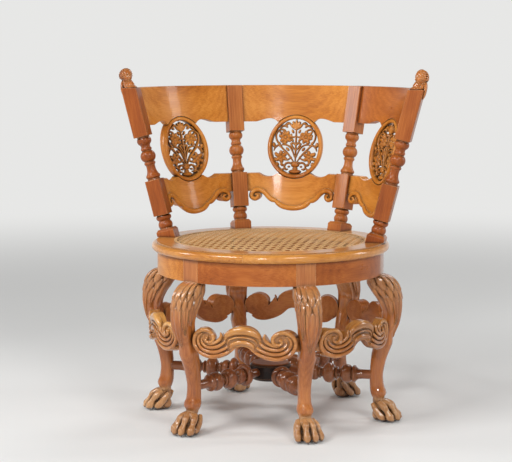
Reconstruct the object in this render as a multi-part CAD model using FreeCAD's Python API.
"""Burgomaster chair: a round caned seat on six carved legs, with a three-panel curved back.

Millimetres, +Z up, front towards -Y. The chair is drawn about the seat's own axis and then
moved in Y, so that the origin lies on the floor in the middle of the whole chair.
A chair angle is measured from the front towards +X.
"""
import FreeCAD, Part
import os
from math import atan2, copysign, cos, degrees, pi, radians, sin, sqrt

V = FreeCAD.Vector
UP = V(0, 0, 1)
ORIGIN = V(0, 0, 0)

# Places round the seat
leg_angles = {"front_left": -30, "front_right": 30, "right": 90,
              "back_right": 150, "back_left": -150, "left": -90}
bay_angles = {"front": 0, "front_right": 60, "back_right": 120,
              "back": 180, "back_left": -120, "front_left": -60}
post_angles = {"left_arm_post": -90, "left_back_post": -150,
               "right_back_post": 150, "right_arm_post": 90}
panel_angles = {"left": -120, "back": 180, "right": 120}
half_bay = 180 / len(leg_angles)

# Seat
seat_height = 437.0
rim_radius = 290.0
rim_thickness = 23.0
rim_opening_radius = 220.0
rim_step_inset = 11.0
rim_step_depth = 2.5
rim_nose_tuck = 6.0
cane_radius = 236.0
cane_thickness = 2.0
cane_pitch = 24.0
cane_eye_diameter = 17.0
binding_width = 7.0
binding_thickness = 2.0
rim_dowel_diameter = 8.0
rim_dowel_length = 44.0
rim_dowel_spacing = 26.0

# Apron
apron_radius = 276.5
apron_thickness = 24.0
apron_height = 54.0
apron_tenon_thickness = 9.0
apron_tenon_height = 38.0
apron_peg_diameter = 5.0

# Legs
stile_width = 46.0
stile_depth = 36.5
paw_height = 60.0
toe_radius = 9.5
toe_spacing = 17.0
leg_tenon_height = 15.0

# Carved stretchers between the legs
carved_radius = 286.0
carved_thickness = 26.0
carved_height = 226.0
carved_tenon_thickness = 11.0
carved_tenon_height = 32.0
carved_tenon_length = 14.0
volute_height = 232.0
volute_radius = 29.0
volute_reach = 95.0

# Turned stretchers and hub
turned_height = 112.0
turned_ball_diameter = 49.0
turned_tenon_diameter = 14.0
leg_socket_depth = 16.0
hub_socket_depth = 20.0
hub_radius = 50.0
hub_height = 42.0
hub_bevel = 6.0

# Curved back
back_height = 804.0
back_top_radius = 356.0
back_base_radius = 259.5
back_forward_shift = 24.0
post_depth = 38.0
post_width = 40.0
post_edge_chamfer = 1.5
post_foot_width = 44.0
post_foot_rise = 20.0
post_tenon_diameter = 18.0
post_tenon_depth = 28.0
lower_block_bottom = 491.0
lower_block_top = 577.0
upper_block_bottom = 684.0

# Crest rails and lower rails
rail_thickness = 20.0
rail_tenon_thickness = 8.0
rail_peg_diameter = 6.0
crest_edge = 710.0
crest_arch_rise = 8.0
crest_tenon_height = 68.0
rail_end_height = 45.0
rail_tenon_height = 32.0
rail_drop = 96.0
rail_volute_radius = 13.0
rail_volute_reach = 97.0

# Pierced medallions
medallion_centre = 645.0
medallion_half_width = 73.0
medallion_half_height = 82.5
medallion_band = 11.5
medallion_thickness = 24.0
tracery_thickness = 13.0
medallion_dowel_diameter = 6.0
medallion_dowel_length = 26.0

# Finials
finial_collar_diameter = 28.0
finial_collar_height = 11.0
finial_head_radius = 18.0
finial_overhang = 10.0
finial_tail_drop = 24.0
finial_dowel_diameter = 10.0
finial_dowel_length = 20.0

# Fits
fit_gap = 0.2
tenon_wall = 1.0
tenon_root = 5.0

# Heights and lengths that follow
apron_top = seat_height - rim_thickness
apron_bottom = apron_top - apron_height
cane_bottom = seat_height - cane_thickness - binding_thickness
apron_mid_radius = apron_radius - apron_thickness / 2
apron_tenon_length = stile_width / 2 - post_tenon_diameter / 2 - tenon_wall
post_core = finial_dowel_diameter + 2 * tenon_wall
rail_tenon_length = (post_width - post_core) / 2

# Leg outline between the paw and the apron:
# share of the height, inner and outer face measured from the apron's face, width
LEG_STATIONS = (
    (1.00, -37.5, 3.5, 50), (0.985, -37.5, 20, 54), (0.96, -37.5, 33, 58), (0.917, -35.5, 43.5, 61),
    (0.85, -22.5, 50.5, 64), (0.783, -8.5, 53.5, 66), (0.70, 1.5, 52.5, 64),
    (0.60, -2, 46.5, 58), (0.513, -10.5, 35.5, 48), (0.40, -21, 23, 38),
    (0.30, -25.5, 11.5, 32), (0.183, -28, 4.5, 28), (0.083, -27.5, 7, 30), (0.0, -23.5, 9.5, 36))
# The same below the ankle, as shares of the paw's height
PAW_STATIONS = ((0.73, -19.5, 31, 50), (0.42, -18.5, 41, 58), (0.13, -17, 45, 62), (0.0, -14, 43, 58))

# Half a carved stretcher: share of the volute's reach, height above the volute's middle.
# The lower edge runs in under the arch, the arch runs out from the middle to the scroll.
CARVED_LOWER = ((1.13, -30), (0.95, -41), (0.74, -42), (0.57, -38), (0.38, -30), (0.27, -22), (0.16, -13))
CARVED_ARCH = ((0.24, 33), (0.38, 21), (0.44, 6))
CARVED_LEAF = ((0.53, 18), (0.68, -4), (0.9, 12))
carved_arch_underside = -9.0
carved_arch_top = 38.0

# Turnings, from one end to the other: share of the length, belly and end radius.
# A belly of None is a straight run. Radii are shares of the largest one.
POST_TURNING = ((3, None, 0.80), (14, 0.95, 0.78), (8, 0.62, 0.63), (8, 0.72, 0.60), (24, 1.0, 0.60),
                (8, 0.74, 0.60), (4, None, 0.58), (17, 0.62, 0.80), (9, 0.94, 0.80), (4, None, 0.84))
POST_FOOT_TURNING = ((1, None, 0.84), (11, 1.0, 0.84), (4, 0.76, 0.80), (14, 0.94, 0.84), (2, None, 0.86))
STRETCHER_TURNING = ((22, None, 0.47), (10, None, 0.52), (7, 0.62, 0.82), (6, 0.86, 0.50), (30, 0.92, 0.44),
                     (7, None, 0.42), (6, 0.64, 0.46), (30, 1.0, 0.46), (5, None, 0.44), (5, 0.58, 0.50),
                     (22, 0.80, 0.52), (16, 1.06, 0.56), (10, 0.46, 0.44), (28, None, 0.44))


# Small helpers
def turned_to(shape, angle):
    """A shape drawn with its outward side along +X, turned to a chair angle."""
    placed = shape.copy()
    placed.rotate(ORIGIN, UP, angle - 90)
    return placed


def swung(shape, angle):
    """A shape turned about the seat's axis."""
    placed = shape.copy()
    placed.rotate(ORIGIN, UP, angle)
    return placed


def block(x_range, y_range, z_range):
    """A box between two limits on each axis."""
    low = V(x_range[0], y_range[0], z_range[0])
    high = V(x_range[1], y_range[1], z_range[1])
    size = high - low
    return Part.makeBox(size.x, size.y, size.z, low)


def rod(diameter, start, end):
    """A round rod between two points."""
    run = end - start
    return Part.makeCylinder(diameter / 2, run.Length, start, run)


def capsule(radius, start, end):
    """A rod with round ends."""
    rounds = [Part.makeSphere(radius, start), Part.makeSphere(radius, end)]
    return rod(2 * radius, start, end).multiFuse(rounds).removeSplitter()


def outline_face(points, curved=()):
    """A closed face in the plane of Y and Z; each run listed in curved is one smooth curve."""
    places = [V(0, y, z) for y, z in points]
    edges = []
    index = 0
    count = len(places)
    while index < count:
        stop = dict(curved).get(index, index + 1)
        run = [places[k % count] for k in range(index, stop + 1)]
        if len(run) == 2:
            edges.append(Part.makeLine(run[0], run[1]))
        else:
            curve = Part.BSplineCurve()
            curve.interpolate(run)
            edges.append(curve.toShape())
        index = stop
    return Part.Face(Part.Wire(edges))


def pushed(face, reach):
    """A face drawn on the seat's axis, pushed out along +X past the chair."""
    return face.extrude(V(reach, 0, 0))


def disc_out(radius, y, z, reach):
    """A round prism along +X."""
    return Part.makeCylinder(radius, reach, V(0, y, z), V(1, 0, 0))


def lathe(turning, length, largest, start_share):
    """A turned solid on the Z axis, from z = 0 up, built from shares of length and radius."""
    scale = length / sum(share for share, belly, end in turning)
    height = 0.0
    radius = start_share * largest
    edges = [Part.makeLine(ORIGIN, V(radius, 0, 0))]
    for share, belly, end in turning:
        start = V(radius, 0, height)
        middle_height = height + share * scale / 2
        height += share * scale
        radius = end * largest
        stop = V(radius, 0, height)
        if belly is None:
            edges.append(Part.makeLine(start, stop))
        else:
            edges.append(Part.Arc(start, V(belly * largest, 0, middle_height), stop).toShape())
    edges.append(Part.makeLine(V(radius, 0, height), V(0, 0, height)))
    edges.append(Part.makeLine(V(0, 0, height), ORIGIN))
    return Part.Face(Part.Wire(edges)).revolve(ORIGIN, UP, 360)


def bay_wedge():
    """A wedge about +X that stops on the planes through the two legs or posts beside a bay."""
    reach = 3 * back_top_radius
    y = reach * sin(radians(half_bay))
    x = reach * cos(radians(half_bay))
    corners = [ORIGIN, V(x, -y, 0), V(x, y, 0), ORIGIN]
    return Part.Face(Part.makePolygon(corners)).extrude(V(0, 0, back_height))


# The back's leaning round surface
def back_share(z):
    """How far up the back a height lies, from 0 at the seat to 1 at the crest."""
    return (z - seat_height) / (back_height - seat_height)


def back_radius(z):
    """Radius of the back's round plan at a height."""
    return back_base_radius + (back_top_radius - back_base_radius) * back_share(z)


def back_reach(angle, z):
    """Distance from the seat's axis to the back's surface, in one direction."""
    shift = -back_forward_shift * back_share(z)
    along = -shift * cos(radians(angle))
    return along + sqrt(back_radius(z) ** 2 - shift ** 2 + along ** 2)


def back_cone(offset):
    """The solid inside the back's surface, moved outwards by an offset."""
    rings = []
    for z in (seat_height, back_height):
        centre = V(0, -back_forward_shift * back_share(z), z)
        rings.append(Part.Wire(Part.makeCircle(back_radius(z) + offset, centre, UP)))
    return Part.makeLoft(rings, True, True)


def back_shell(thickness):
    """A wall of even thickness on the back's surface."""
    return back_cone(thickness / 2).cut(back_cone(-thickness / 2))


def on_back(face, thickness, angle):
    """A flat outline carried onto the back's wall, at a panel's angle."""
    return back_shell(thickness).common(turned_to(pushed(face, 2 * back_top_radius), angle))


# Posts
def post_lean(angle):
    """A post's lean from upright, in degrees."""
    spread = back_reach(angle, back_height) - back_base_radius
    return degrees(atan2(spread, back_height - seat_height))


def in_post(shape, angle):
    """A shape drawn upright on a post's own axis, leaned and set at the post's place."""
    placed = shape.copy()
    placed.rotate(ORIGIN, V(0, 1, 0), post_lean(angle))
    placed.translate(V(back_base_radius, 0, seat_height))
    return turned_to(placed, angle)


def along_post(angle, z):
    """Distance up a post's axis that reaches a height."""
    return (z - seat_height) / cos(radians(post_lean(angle)))


def square_block(angle, bottom, top):
    """A square block of a post, with its long edges eased."""
    x = post_depth / 2
    y = post_width / 2
    shape = block((-x, x), (-y, y), (along_post(angle, bottom), along_post(angle, top)))
    corners = [edge for edge in shape.Edges if abs(edge.tangentAt(edge.FirstParameter).z) > 0.9]
    return shape.makeChamfer(post_edge_chamfer, corners)


def post_turning(angle, turning, bottom, top):
    """A turned stretch of a post, listed from its upper end down."""
    length = along_post(angle, top) - along_post(angle, bottom)
    shape = lathe(turning, length, post_depth / 2, turning[-1][2])
    shape.rotate(ORIGIN, V(1, 0, 0), 180)
    shape.translate(V(0, 0, along_post(angle, top)))
    return shape


def post_foot(angle, top):
    """The square foot of a post, bevelled at the top, with some spare length below the seat."""
    wires = []
    spare = post_foot_width * sin(radians(post_lean(angle)))
    for width, height in ((post_foot_width, -spare), (post_foot_width, 0.75 * post_foot_rise),
                          (0.94 * post_depth, along_post(angle, top))):
        half = width / 2
        ring = [V(x * half, y * half, height) for x, y in ((-1, -1), (1, -1), (1, 1), (-1, 1))]
        wires.append(Part.makePolygon(ring + ring[:1]))
    return Part.makeLoft(wires, True, True)


def post_blank(angle):
    """The whole post without its sockets, cut level at the seat and at the crest."""
    spare = post_depth
    foot_top = seat_height + post_foot_rise
    pieces = [square_block(angle, lower_block_bottom, lower_block_top),
              post_turning(angle, POST_TURNING, lower_block_top, upper_block_bottom),
              post_turning(angle, POST_FOOT_TURNING, foot_top, lower_block_bottom)]
    upper = square_block(angle, upper_block_bottom, back_height + spare)
    shape = in_post(upper.multiFuse(pieces).fuse(post_foot(angle, foot_top)), angle)
    reach = 2 * back_top_radius
    return shape.common(block((-reach, reach), (-reach, reach), (seat_height, back_height)))


def seat_tenon(grow):
    """The round tenon that carries a post through the rim into its leg, drawn on +X."""
    bottom = V(back_base_radius, 0, apron_top - post_tenon_depth - grow)
    top = V(back_base_radius, 0, seat_height + post_foot_rise / 4)
    return rod(post_tenon_diameter + 2 * grow, bottom, top)


def rail_levels():
    """Middle height and height of the tenons of the crest and of the lower rail."""
    crest = ((crest_edge + back_height) / 2, crest_tenon_height)
    lower = (lower_block_top - rail_end_height / 2, rail_tenon_height)
    return crest, lower


def rail_tenon(angle, side, level, grow):
    """A rail's tenon in one side of a post, or its socket when grown."""
    middle, height = level
    x = rail_tenon_thickness / 2 + grow
    inner = post_core / 2 - grow
    outer = post_width / 2 + tenon_root
    y_range = (inner, outer) if side > 0 else (-outer, -inner)
    z_range = (along_post(angle, middle - height / 2) - grow, along_post(angle, middle + height / 2) + grow)
    return in_post(block((-x, x), y_range, z_range), angle)


def rail_peg(angle, side, level, grow):
    """A peg through a post and a rail's tenon, driven from the outside of the back."""
    y = side * (post_core / 2 + rail_tenon_length / 2)
    height = along_post(angle, level[0])
    start = V(-rail_tenon_thickness / 2 - tenon_root - grow, y, height)
    end = V(post_depth / 2 + grow, y, height)
    return in_post(rod(rail_peg_diameter + 2 * grow, start, end), angle)


def post_joints(angle):
    """The sides of a post that take rails: the turn towards a panel gives the side."""
    return [side for side in (-1, 1) if angle + side * half_bay in (-120, -180, 120, 180)]


def finial_dowel(angle, grow):
    """The dowel that pins a finial to its post."""
    reach = back_reach(angle, back_height)
    start = V(reach, 0, back_height - finial_dowel_length - grow)
    end = V(reach, 0, back_height + finial_collar_height / 2)
    return turned_to(rod(finial_dowel_diameter + 2 * grow, start, end), angle)


def post(angle, blank):
    """A post with its seat tenon, its rail sockets and its peg holes."""
    cuts = []
    for side in post_joints(angle):
        for level in rail_levels():
            cuts.append(rail_tenon(angle, side, level, fit_gap))
            cuts.append(rail_peg(angle, side, level, fit_gap))
    if abs(angle) == 90:
        cuts.append(finial_dowel(angle, fit_gap))
    return blank.fuse(turned_to(seat_tenon(0), angle)).cut(cuts)


def finial(angle, blank):
    """A carved head on a collar, with hair falling down the outer side of the post."""
    reach = back_reach(angle, back_height)
    collar_top = back_height + finial_collar_height
    head_middle = V(reach + finial_overhang, 0, collar_top + finial_head_radius)
    nape = V(reach + post_depth / 2, 0, collar_top)
    tail_radius = finial_head_radius / 3
    tail_end = V(back_reach(angle, back_height - finial_tail_drop) + post_depth / 2 + tail_radius / 2, 0,
                 back_height - finial_tail_drop + tail_radius)
    collar = Part.makeCylinder(finial_collar_diameter / 2, finial_collar_height + tail_radius,
                               V(reach, 0, back_height))
    hair = Part.makeSphere(finial_head_radius, head_middle + V(tail_radius / 2, 0, tail_radius / 3))
    face = Part.makeSphere(0.85 * finial_head_radius, head_middle - V(tail_radius / 2, 0, 0))
    tail = capsule(tail_radius, nape, tail_end)
    shape = turned_to(collar.multiFuse([hair, face, tail]), angle).cut(blank)
    return shape.fuse(finial_dowel(angle, 0))


# Back panels
def oval(grow):
    """The medallion's oval outline, as a face on the seat's axis."""
    centre = V(0, 0, medallion_centre)
    tall = centre + V(0, 0, medallion_half_height + grow)
    wide = centre + V(0, medallion_half_width + grow, 0)
    return Part.Face(Part.Wire(Part.Ellipse(tall, wide, centre).toShape()))


def crest_outline():
    """The crest rail's outline: a straight top over a lower edge of lobes and small arches."""
    width = back_top_radius
    arch = crest_edge + crest_arch_rise
    meet = 0.65 * medallion_half_width
    lobe = medallion_half_width + 30
    half = [(width, crest_edge), (lobe, crest_edge), (lobe - 24, arch - 1), (lobe - 38, arch),
            (meet, crest_edge - 3), (meet - 12, crest_edge)]
    points = half + [(-y, z) for y, z in reversed(half)] + [(-width, back_height), (width, back_height)]
    return outline_face(points, ((1, 4), (7, 10)))


def lower_rail_outline():
    """The lower rail's outline: a waved top and a cyma lower edge with a deep middle."""
    width = back_top_radius
    top = lower_block_top
    end = top - rail_end_height
    meet = 0.6 * medallion_half_width
    dip = medallion_half_width - 6
    step = 0.38 * rail_volute_reach
    cusp = 0.46 * rail_volute_reach
    deep = top - rail_drop
    half = [(width, end), (rail_volute_reach, end - 1), (0.88 * rail_volute_reach, end - 4),
            (0.6 * rail_volute_reach, top - 0.74 * rail_drop), (cusp, top - 0.77 * rail_drop),
            (step, top - 0.82 * rail_drop)]
    upper = [(-width, top), (-dip - 25, top), (-dip, top - 9), (-meet, top), (meet, top), (dip, top - 9),
             (dip + 25, top), (width, top)]
    points = half + [(0, deep)] + [(-y, z) for y, z in reversed(half)] + upper
    return outline_face(points, ((1, 4), (4, 8), (8, 11), (14, 16), (17, 19)))


def post_beside(angle, side):
    """The angle of the post on one side of a panel."""
    found = angle + side * half_bay
    return found if found <= 180 else found - 360


def rail(angle, face, level, blanks):
    """A rail scribed to its posts, with a tenon at each end and a seat for the medallion."""
    body = on_back(face, rail_thickness, angle).common(turned_to(bay_wedge(), angle))
    if level == rail_levels()[1]:
        volutes = []
        for side in (-1, 1):
            volute = disc_out(rail_volute_radius, side * rail_volute_reach,
                              lower_block_top - rail_end_height - rail_volute_radius, 2 * back_top_radius)
            volutes.append(back_shell(rail_thickness).common(turned_to(volute, angle)))
        body = body.multiFuse(volutes)
    tenons = []
    pegs = []
    for side in (-1, 1):
        neighbour = post_beside(angle, side)
        body = body.cut(blanks[neighbour])
        tenons.append(rail_tenon(neighbour, -side, level, 0))
        pegs.append(rail_peg(neighbour, -side, level, fit_gap))
    seat = turned_to(pushed(oval(fit_gap), 2 * back_top_radius), angle)
    return largest(body.cut(seat)).multiFuse(tenons).cut(pegs + medallion_dowels(angle, fit_gap))


def largest(shape):
    """The biggest solid of a shape."""
    return max(shape.Solids, key=lambda solid: solid.Volume)


def medallion_dowels(angle, grow):
    """The two upright dowels that hold a medallion between its rails."""
    dowels = []
    half = medallion_dowel_length / 2 + grow
    for z in (medallion_centre - medallion_half_height, medallion_centre + medallion_half_height):
        ends = [V(back_reach(angle, z + step), 0, z + step) for step in (-half, half)]
        dowels.append(turned_to(rod(medallion_dowel_diameter + 2 * grow, ends[0], ends[1]), angle))
    return dowels


def arc_band(start, middle, end, width):
    """A curved stem in the plane of Y and Z, as a face of even width."""
    path = Part.Arc(V(0, *start), V(0, *middle), V(0, *end)).toShape().Curve
    centre = path.Center
    sides = []
    for radius in (path.Radius - width / 2, path.Radius + width / 2):
        places = [centre + (V(0, *p) - centre).normalize() * radius for p in (start, middle, end)]
        sides.append(places)
    inner, outer = sides
    edges = [Part.Arc(*inner).toShape(), Part.makeLine(inner[2], outer[2]),
             Part.Arc(*outer).toShape(), Part.makeLine(outer[0], inner[0])]
    return Part.Face(Part.Wire(edges))


def tracery(reach):
    """The pierced carving inside a medallion: a vase with a stem, branches, flowers and a palmette."""
    w = medallion_half_width - medallion_band
    h = medallion_half_height - medallion_band
    stem = 0.06 * w
    c = medallion_centre

    def at(y, z):
        return (y * w, c + z * h)

    vase = outline_face([at(-0.26, -1.06), at(0.26, -1.06), at(0.2, -0.86), at(0.1, -0.82), at(0.2, -0.66),
                         at(0.2, -0.56), at(-0.2, -0.56), at(-0.2, -0.66), at(-0.1, -0.82), at(-0.2, -0.86)])
    solids = [pushed(vase, reach), block((0, reach), (-stem, stem), (c - 0.6 * h, c + 0.8 * h)),
              disc_out(0.3 * w, 0, c + 0.78 * h, reach)]
    for side in (-1, 1):
        branch = arc_band(at(0.04 * side, -0.58), at(0.52 * side, -0.08), at(0.84 * side, 0.34), 2 * stem)
        curl = arc_band(at(0.84 * side, 0.3), at(0.66 * side, 0.6), at(0.4 * side, 0.5), 2 * stem)
        spray = arc_band(at(0.4 * side, -0.22), at(0.68 * side, 0.0), at(0.88 * side, -0.22), 2 * stem)
        scroll = arc_band(at(0.14 * side, -0.6), at(0.36 * side, -0.62), at(0.48 * side, -0.92), 2 * stem)
        solids += [pushed(face, reach) for face in (branch, curl, spray, scroll)]
        solids.append(disc_out(0.27 * w, side * 0.45 * w, c + 0.32 * h, reach))
        solids.append(disc_out(0.28 * w, side * 0.68 * w, c - 0.42 * h, reach))
    return solids[0].multiFuse(solids[1:])


def medallion(angle):
    """A pierced oval medallion on the back's surface: an oval band round thinner tracery."""
    reach = 2 * back_top_radius
    inside = pushed(oval(-medallion_band), reach)
    whole = pushed(oval(0), reach)
    band = back_shell(medallion_thickness).common(turned_to(whole.cut(inside), angle))
    carving = back_shell(tracery_thickness).common(turned_to(tracery(reach).common(whole), angle))
    return largest(band.fuse(carving).cut(medallion_dowels(angle, fit_gap)))


# Legs
def leg_stations():
    """The leg's outline as height, inner radius, outer radius and width, from the apron down."""
    stations = []
    for share, inner, outer, width in LEG_STATIONS:
        height = paw_height + share * (apron_bottom - paw_height)
        stations.append((height, apron_radius + inner, apron_radius + outer, width))
    for share, inner, outer, width in PAW_STATIONS:
        stations.append((share * paw_height, apron_radius + inner, apron_radius + outer, width))
    return stations


def leg_at(height):
    """Inner radius, outer radius and width of a leg at a height."""
    stations = leg_stations()
    for upper, lower in zip(stations, stations[1:]):
        if lower[0] <= height <= upper[0]:
            share = (height - lower[0]) / (upper[0] - lower[0])
            return [low + share * (high - low) for high, low in zip(upper[1:], lower[1:])]
    return list(stations[0][1:])


def leg_section(height, inner, outer, width):
    """A level section of a leg: a rounded square drawn as one closed curve."""
    squareness = 0.8
    points = []
    for step in range(16):
        turn = 2 * pi * step / 16
        x = copysign(abs(cos(turn)) ** squareness, cos(turn)) * (outer - inner) / 2
        y = copysign(abs(sin(turn)) ** squareness, sin(turn)) * width / 2
        points.append(V((inner + outer) / 2 + x, y, height))
    curve = Part.BSplineCurve()
    curve.interpolate(points, PeriodicFlag=True)
    return Part.Wire(curve.toShape())


def paw_toes():
    """Four bent toes that fan out from a paw."""
    toes = []
    tip_reach = apron_radius + PAW_STATIONS[1][2] + 2
    for place in (-1.5, -0.5, 0.5, 1.5):
        swing = 0.6 * abs(place)
        knuckle = V(tip_reach - 17 - 4 * swing, 0.8 * place * toe_spacing, 0.5 * paw_height)
        tip = V(tip_reach - 5 * swing, place * toe_spacing, 0.95 * toe_radius)
        toes.append(capsule(toe_radius, knuckle, tip))
    return toes


def leg_blank():
    """A leg without sockets: stile, knee, shaft and paw in one piece, drawn along +X."""
    sections = [leg_section(*station) for station in leg_stations()]
    body = Part.makeLoft(sections, True, False)
    stile = block((apron_radius - stile_depth, rim_radius), (-stile_width / 2, stile_width / 2),
                  (apron_bottom - tenon_root, apron_top))
    round_face = Part.makeCylinder(apron_radius, apron_top)
    above_floor = block((0, 2 * rim_radius), (-rim_radius, rim_radius), (0, apron_top))
    return body.multiFuse([stile.common(round_face)] + paw_toes()).common(above_floor).removeSplitter()


def apron_tenon(side, grow):
    """An apron's tenon in one side of a leg's stile, or its socket when grown."""
    x = apron_tenon_thickness / 2 + grow
    inner = stile_width / 2 - apron_tenon_length - grow
    outer = stile_width / 2 + tenon_root
    middle = (apron_top + apron_bottom) / 2
    half = apron_tenon_height / 2 + grow
    y_range = (inner, outer) if side > 0 else (-outer, -inner)
    return block((apron_mid_radius - x, apron_mid_radius + x), y_range, (middle - half, middle + half))


def apron_peg(side, grow):
    """A peg through a stile and an apron's tenon, driven from the inside of the seat."""
    y = side * (stile_width - apron_tenon_length) / 2
    height = (apron_top + apron_bottom) / 2
    start = V(apron_radius - stile_depth - grow, y, height)
    end = V(apron_mid_radius + apron_tenon_thickness / 2 + tenon_root / 2 + grow, y, height)
    return rod(apron_peg_diameter + 2 * grow, start, end)


def carved_tenon(side, grow):
    """A carved stretcher's tenon in one side of a leg, or its socket when grown."""
    half_width = leg_at(carved_height)[2] / 2
    x = carved_tenon_thickness / 2 + grow
    inner = half_width - carved_tenon_length - grow
    outer = half_width + 2 * tenon_root
    half = carved_tenon_height / 2 + grow
    y_range = (inner, outer) if side > 0 else (-outer, -inner)
    z_range = (carved_height - half, carved_height + half)
    return block((carved_radius - x, carved_radius + x), y_range, z_range)


def leg_socket(grow):
    """The round tenon of a turned stretcher in a leg, or its bore when grown."""
    face = leg_at(turned_height)[0]
    start = V(face - 2 * tenon_root, 0, turned_height)
    end = V(face + leg_socket_depth + grow, 0, turned_height)
    return rod(turned_tenon_diameter + 2 * grow, start, end)


def leg_tenon(grow):
    """The round tenon on top of a front leg, which has no post above it."""
    start = V(back_base_radius, 0, apron_top - tenon_root)
    end = V(back_base_radius, 0, apron_top + leg_tenon_height + grow)
    return rod(post_tenon_diameter + 2 * grow, start, end)


def leg(blank, has_post):
    """A leg with its sockets; it takes a post's tenon or carries its own tenon."""
    cuts = [leg_socket(fit_gap)]
    for side in (-1, 1):
        cuts += [apron_tenon(side, fit_gap), apron_peg(side, fit_gap), carved_tenon(side, fit_gap)]
    if has_post:
        shape = blank.cut(cuts + [seat_tenon(fit_gap)])
    else:
        shape = blank.fuse(leg_tenon(0)).cut(cuts)
    return largest(shape)


# Apron and rim
def apron(blank):
    """One curved apron piece between two stiles, with a tenon at each end."""
    ring = Part.makeCylinder(apron_radius, apron_height, V(0, 0, apron_bottom))
    ring = ring.cut(Part.makeCylinder(apron_radius - apron_thickness, apron_height, V(0, 0, apron_bottom)))
    body = ring.common(bay_wedge())
    tenons = []
    pegs = []
    for side in (-1, 1):
        body = body.cut(swung(blank, side * half_bay))
        tenons.append(swung(apron_tenon(-side, 0), side * half_bay))
        pegs.append(swung(apron_peg(-side, fit_gap), side * half_bay))
    return largest(body.multiFuse(tenons).cut(pegs))


def rim_section():
    """The seat rim's section: a rebate for the cane, a flat border, a step and a round nose."""
    step_radius = rim_radius - rim_step_inset
    shoulder = seat_height - rim_step_depth
    nose_start = V(rim_radius - rim_nose_tuck, 0, apron_top)
    nose_middle = V(rim_radius, 0, apron_top + 0.46 * rim_thickness)
    nose_end = V(step_radius + rim_step_depth, 0, shoulder)
    corners = [nose_end, V(step_radius, 0, shoulder), V(step_radius, 0, seat_height),
               V(cane_radius, 0, seat_height), V(cane_radius, 0, cane_bottom),
               V(rim_opening_radius, 0, cane_bottom), V(rim_opening_radius, 0, apron_top), nose_start]
    edges = [Part.Arc(nose_start, nose_middle, nose_end).toShape()]
    edges += [Part.makeLine(start, end) for start, end in zip(corners, corners[1:])]
    return Part.Face(Part.Wire(edges))


def rim_dowels(grow):
    """The two dowels across one joint of the rim, drawn at the joint on +X."""
    middle = (rim_opening_radius + rim_radius) / 2
    height = (apron_top + cane_bottom) / 2
    half = V(0, rim_dowel_length / 2 + grow, 0)
    places = [V(middle + offset, 0, height) for offset in (-rim_dowel_spacing / 2, rim_dowel_spacing / 2)]
    return [rod(rim_dowel_diameter + 2 * grow, place - half, place + half) for place in places]


def rim_segment(has_post):
    """One sixth of the seat rim, centred on a leg."""
    section = rim_section()
    section.rotate(ORIGIN, UP, -half_bay)
    body = section.revolve(ORIGIN, UP, 2 * half_bay)
    cuts = [swung(dowel, side * half_bay) for side in (-1, 1) for dowel in rim_dowels(fit_gap)]
    cuts.append(seat_tenon(fit_gap) if has_post else leg_tenon(fit_gap))
    return body.cut(cuts)


# Cane seat
def cane_panel():
    """The caned panel as one flat net of round eyes."""
    edge = cane_radius - fit_gap
    field = rim_opening_radius - cane_eye_diameter
    wires = [Part.Wire(Part.makeCircle(edge, V(0, 0, cane_bottom), UP))]
    count = int(field / cane_pitch) + 1
    for row in range(-count, count + 1):
        for column in range(-count, count + 1):
            place = V(column * cane_pitch, row * cane_pitch, cane_bottom)
            if place.x ** 2 + place.y ** 2 <= field ** 2:
                wires.append(Part.Wire(Part.makeCircle(cane_eye_diameter / 2, place, UP)))
    print("eyes in the cane panel:", len(wires) - 1)
    return Part.Face(wires, "Part::FaceMakerBullseye").extrude(V(0, 0, cane_thickness))


def cane_binding():
    """The flat binding strip that covers the cane's edge."""
    bottom = V(0, 0, cane_bottom + cane_thickness)
    outer = Part.makeCylinder(cane_radius - fit_gap, binding_thickness, bottom)
    return outer.cut(Part.makeCylinder(cane_radius - binding_width, binding_thickness, bottom))


# Stretchers
def carved_outline(reach):
    """A carved stretcher's outline: scroll ends, leaf tips and a middle arch that is open below."""
    def mirrored(half, middle):
        places = [(volute_reach * share, volute_height + rise) for share, rise in half]
        return places + [(0, volute_height + middle)] + [(-y, z) for y, z in reversed(places)]

    lower = mirrored(CARVED_LOWER, carved_arch_underside)
    upper = mirrored(tuple(reversed(CARVED_ARCH + CARVED_LEAF)), carved_arch_top)
    points = lower + upper[::-1]
    arch_start = len(lower) + len(CARVED_LEAF)
    runs = ((0, len(lower) - 1), (arch_start, arch_start + 2 * len(CARVED_ARCH)))
    body = pushed(outline_face(points, runs), reach)
    volutes = [disc_out(volute_radius, side * volute_reach, volute_height, reach) for side in (-1, 1)]
    return body.multiFuse(volutes)


def carved_stretcher(blank):
    """A bowed, scroll-ended stretcher scribed to two legs, with a tenon at each end."""
    inner = carved_radius - carved_thickness / 2
    floor = V(0, 0, carved_height - 2 * volute_radius)
    ring = Part.makeCylinder(inner + carved_thickness, 4 * volute_radius, floor)
    ring = ring.cut(Part.makeCylinder(inner, 4 * volute_radius, floor))
    body = ring.common(carved_outline(2 * rim_radius)).common(bay_wedge())
    tenons = []
    for side in (-1, 1):
        body = body.cut(swung(blank, side * half_bay))
        tenons.append(swung(carved_tenon(-side, 0), side * half_bay))
    return largest(largest(body).multiFuse(tenons))


def hub_blank():
    """The turned hub in the middle of the stretchers, without its sockets."""
    low = turned_height - hub_height / 2
    drum = Part.makeCylinder(hub_radius, hub_height, V(0, 0, low))
    rims = [edge for edge in drum.Edges if isinstance(edge.Curve, Part.Circle)]
    return drum.makeChamfer(hub_bevel, rims)


def hub_socket(grow):
    """The round tenon of a turned stretcher in the hub, or its bore when grown."""
    start = V(hub_radius - hub_socket_depth - grow, 0, turned_height)
    end = V(hub_radius + 2 * tenon_root, 0, turned_height)
    return rod(turned_tenon_diameter + 2 * grow, start, end)


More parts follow.
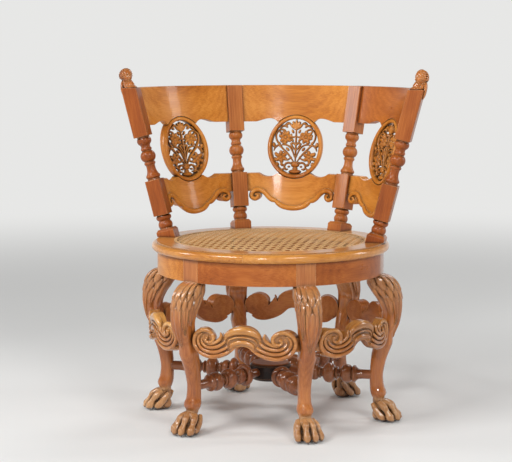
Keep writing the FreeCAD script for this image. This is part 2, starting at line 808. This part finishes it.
def turned_stretcher(blank):
    """A turned stretcher from the hub to a leg, with a round tenon at each end."""
    outer = leg_at(turned_height)[0] + tenon_root
    inner = hub_radius - tenon_root
    body = lathe(STRETCHER_TURNING, outer - inner, turned_ball_diameter / 2, STRETCHER_TURNING[0][2])
    body.rotate(ORIGIN, V(0, 1, 0), -90)
    body.translate(V(outer, 0, turned_height))
    body = largest(body.cut([blank, hub_blank()]))
    return body.multiFuse([leg_socket(0), hub_socket(0)])


# Assembly
def build():
    """Every piece of the chair by name, drawn about the seat's axis."""
    pieces = {}
    blank = leg_blank()
    blanks = {angle: post_blank(angle) for angle in post_angles.values()}
    legs = {True: leg(blank, True), False: leg(blank, False)}
    rims = {True: rim_segment(True), False: rim_segment(False)}
    turned = turned_stretcher(blank)
    for name, angle in leg_angles.items():
        has_post = angle in blanks
        pieces["leg_" + name] = turned_to(legs[has_post], angle)
        pieces["seat_rim_" + name] = turned_to(rims[has_post], angle)
        pieces["turned_stretcher_" + name] = turned_to(turned, angle)
    bay_apron = apron(blank)
    bay_stretcher = carved_stretcher(blank)
    for name, angle in bay_angles.items():
        pieces["apron_" + name] = turned_to(bay_apron, angle)
        pieces["carved_stretcher_" + name] = turned_to(bay_stretcher, angle)
    sockets = [turned_to(hub_socket(fit_gap), angle) for angle in leg_angles.values()]
    pieces["stretcher_hub"] = hub_blank().cut(sockets)
    pieces["cane_panel"] = cane_panel()
    pieces["cane_binding"] = cane_binding()

    for name, angle in post_angles.items():
        pieces[name] = post(angle, blanks[angle])
    for name in ("left", "right"):
        angle = post_angles[name + "_arm_post"]
        pieces[name + "_finial"] = finial(angle, blanks[angle])
    crest, lower = rail_levels()
    for name, angle in panel_angles.items():
        pieces[name + "_crest_rail"] = rail(angle, crest_outline(), crest, blanks)
        pieces[name + "_lower_rail"] = rail(angle, lower_rail_outline(), lower, blanks)
        pieces[name + "_medallion"] = medallion(angle)

    pieces["rail_pegs"] = Part.makeCompound([
        rail_peg(angle, side, level, 0)
        for angle in blanks for side in post_joints(angle) for level in rail_levels()])
    pieces["apron_pegs"] = Part.makeCompound([
        turned_to(apron_peg(side, 0), angle) for angle in leg_angles.values() for side in (-1, 1)])
    pieces["rim_dowels"] = Part.makeCompound([
        turned_to(dowel, angle) for angle in bay_angles.values() for dowel in rim_dowels(0)])
    pieces["medallion_dowels"] = Part.makeCompound([
        dowel for angle in panel_angles.values() for dowel in medallion_dowels(angle, 0)])
    return pieces


def to_middle(pieces):
    """The move in Y that puts the origin midway between the chair's front and back."""
    outermost = ("leg_front_left", "seat_rim_front_left", "leg_back_left",
                 "back_crest_rail", "left_back_post")
    ends = [pieces[name].optimalBoundingBox(False, False) for name in outermost]
    return V(0, -(min(end.YMin for end in ends) + max(end.YMax for end in ends)) / 2, 0)


os.makedirs("parts", exist_ok=True)
pieces = build()
move = to_middle(pieces)
for name, shape in pieces.items():
    shape.translate(move)
    shape.exportStep("parts/" + name + ".step")
    print(name, "solids", len(shape.Solids), "valid", shape.isValid(), "volume", round(shape.Volume))
print("moved in Y", round(move.y, 2))
